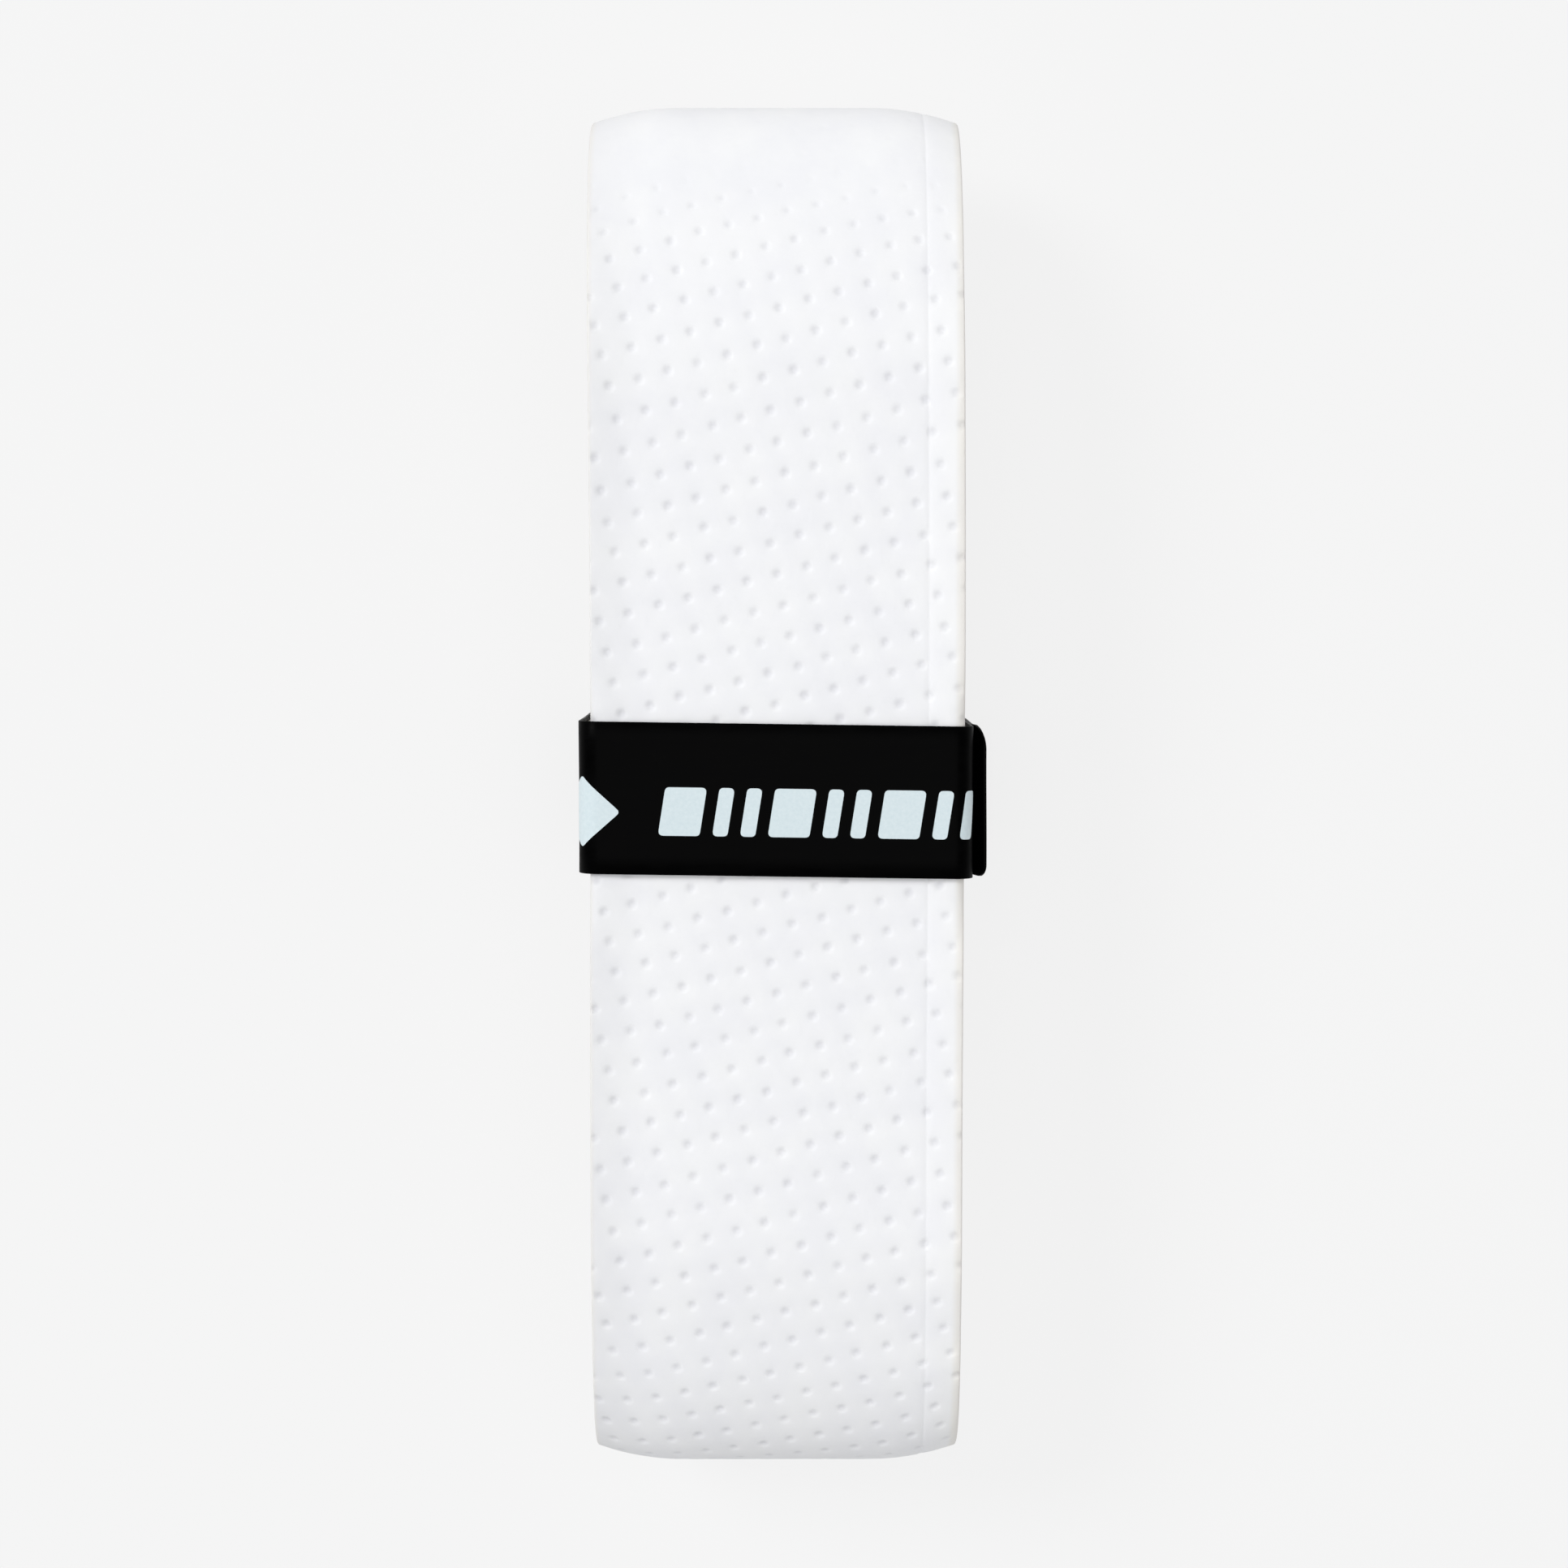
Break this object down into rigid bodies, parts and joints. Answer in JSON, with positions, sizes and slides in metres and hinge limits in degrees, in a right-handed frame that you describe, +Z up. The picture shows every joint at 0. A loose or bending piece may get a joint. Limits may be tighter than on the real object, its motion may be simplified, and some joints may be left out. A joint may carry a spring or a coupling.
{
  "type": "grip tape roll",
  "caption": "Dimpled cushion grip strip for a racket handle, wound into a flat roll and held by a band of finishing tape.",
  "frame": {"origin": "under the middle of the roll, on the underside of the finishing tape that it lies on", "axes": "+X across the strip, towards the finishing tape's seam; +Y along the roll; +Z up through its thickness"},
  "size_m": [0.0292, 0.1014, 0.0218],
  "materials": {
    "white_skin": "matt dimpled polyurethane",
    "cushion_foam": "matt foamed felt",
    "adhesive": "tacky",
    "liner_paper": "smooth coated paper",
    "black_tape": "satin"
  },
  "bodies": {
    "roll": {"grip_skin": "white_skin", "grip_cushion": "cushion_foam", "adhesive_strip": "adhesive", "release_liner": "liner_paper"},
    "band": {"finishing_tape": "black_tape", "finishing_tape_liner": "liner_paper"}
  },
  "joints": [
    {"name": "band_slide", "type": "slide", "parent": "roll", "child": "band", "axis": [0, 1, 0], "range_m": [-0.06, 0.06]}
  ]
}
